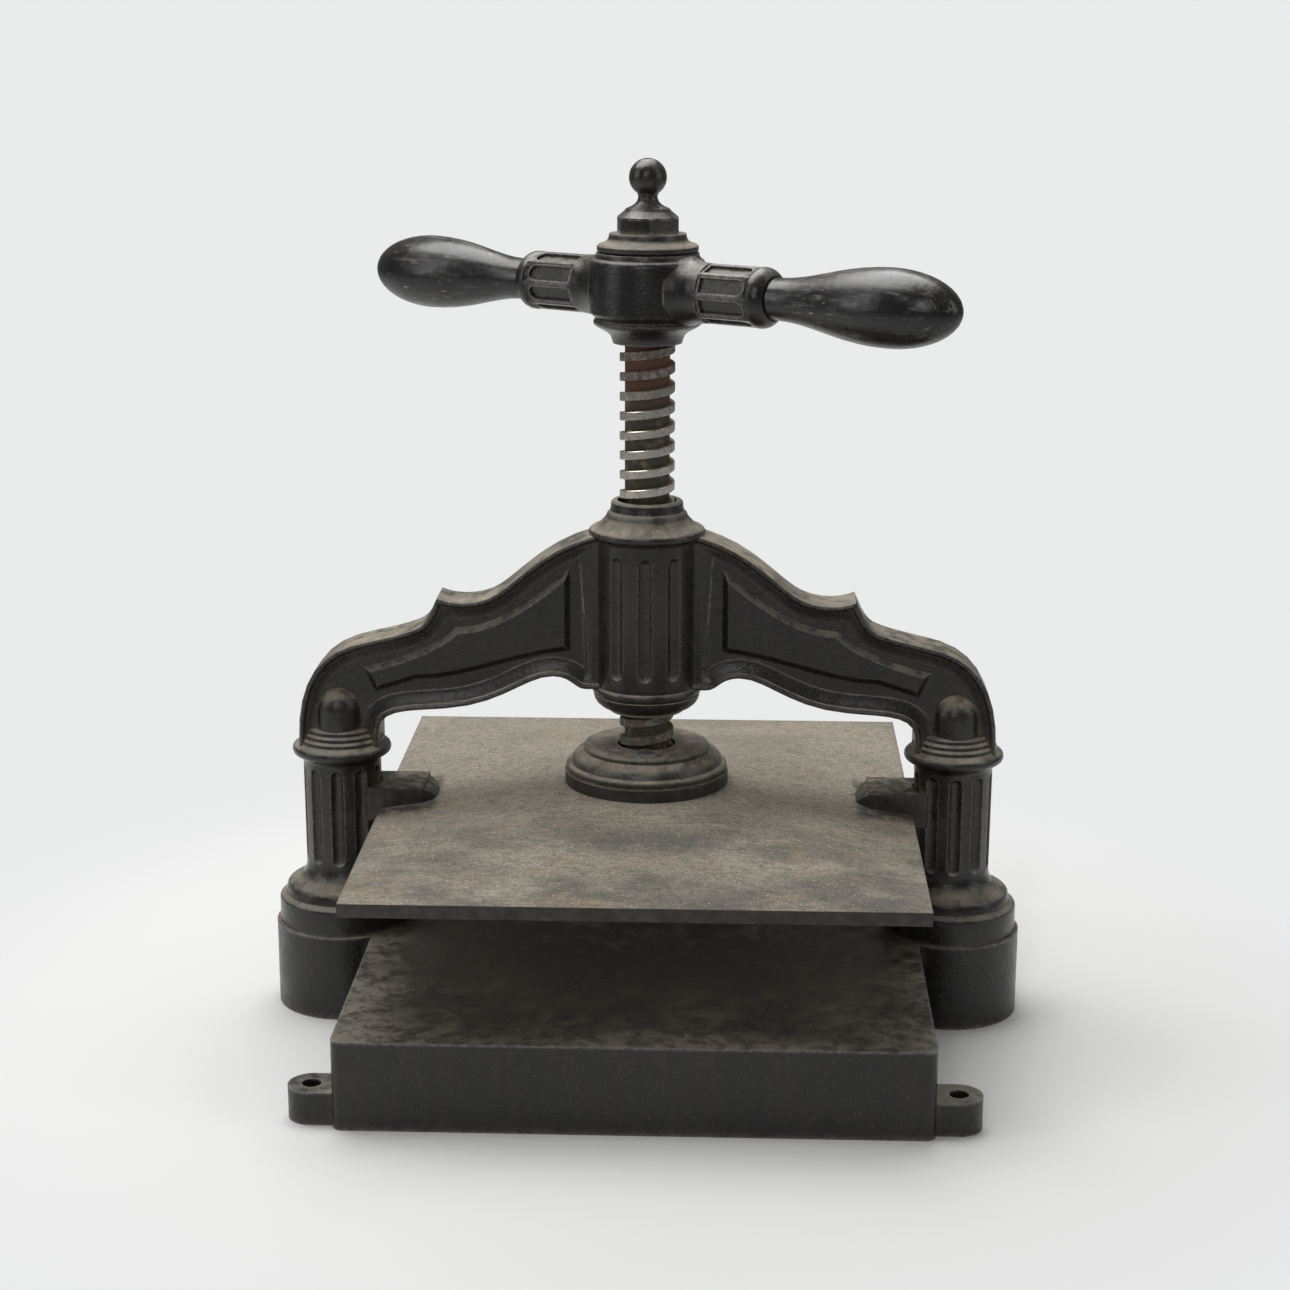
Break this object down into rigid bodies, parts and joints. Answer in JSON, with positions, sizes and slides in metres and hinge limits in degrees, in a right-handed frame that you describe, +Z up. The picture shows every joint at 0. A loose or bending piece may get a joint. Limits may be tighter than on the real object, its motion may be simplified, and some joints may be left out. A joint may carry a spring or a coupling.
{
  "type": "printing press",
  "caption": "Cast-iron screw copying press with fluted columns, arched bridge, crowned platen and cross handle that turns a square-thread screw to raise or lower the platen.",
  "frame": {"origin": "on the screw's axis, at the height of the bench that the press stands on", "axes": "+X to the right as seen from the front, +Y towards the back, +Z up along the screw"},
  "size_m": [0.3933, 0.34, 0.4432],
  "materials": {
    "black_iron": "old black paint over cast iron, satin, dust in the mouldings",
    "platen_iron": "black iron under a layer of grey-brown dust, rust specks on the edges",
    "cap_iron": "turned iron, painted black, dusty on top",
    "hub_iron": "black paint over turned iron, dusty on top",
    "grip_enamel": "glossy black enamel, scuffed at the ends",
    "screw_steel": "worn bright on the thread's crests, brown rust in the grooves",
    "tang_steel": "turned steel rod",
    "bolt_steel": "plain steel, dulled",
    "bronze": "turned bronze, oiled"
  },
  "bodies": {
    "frame": {"base": "black_iron", "arch": "black_iron", "column_bolt_left": "bolt_steel", "column_bolt_right": "bolt_steel", "bolt_washer_left": "bolt_steel", "bolt_washer_right": "bolt_steel", "screw_nut": "bronze"},
    "platen": {"platen": "platen_iron", "thrust_disc": "bronze", "swivel_cap": "cap_iron", "cap_screw_front": "bolt_steel", "cap_screw_rear": "bolt_steel"},
    "screw": {"lead_screw": "screw_steel", "handle_hub": "hub_iron", "tang_left": "tang_steel", "tang_right": "tang_steel", "grip_left": "grip_enamel", "grip_right": "grip_enamel", "hub_washer": "hub_iron", "finial_nut": "hub_iron"}
  },
  "joints": [
    {"name": "platen_travel", "type": "slide", "parent": "frame", "child": "platen", "axis": [0, 0, 1], "range_m": [-0.027, 0.011]},
    {"name": "screw_turn", "type": "hinge", "parent": "platen", "child": "screw", "pos_m": [0, 0, 0.13], "axis": [0, 0, 1], "range_deg": [-970, 394]}
  ],
  "couplings": [
    {"joint": "platen_travel", "follows": "screw_turn", "m_per_rad": 0.0015915}
  ]
}
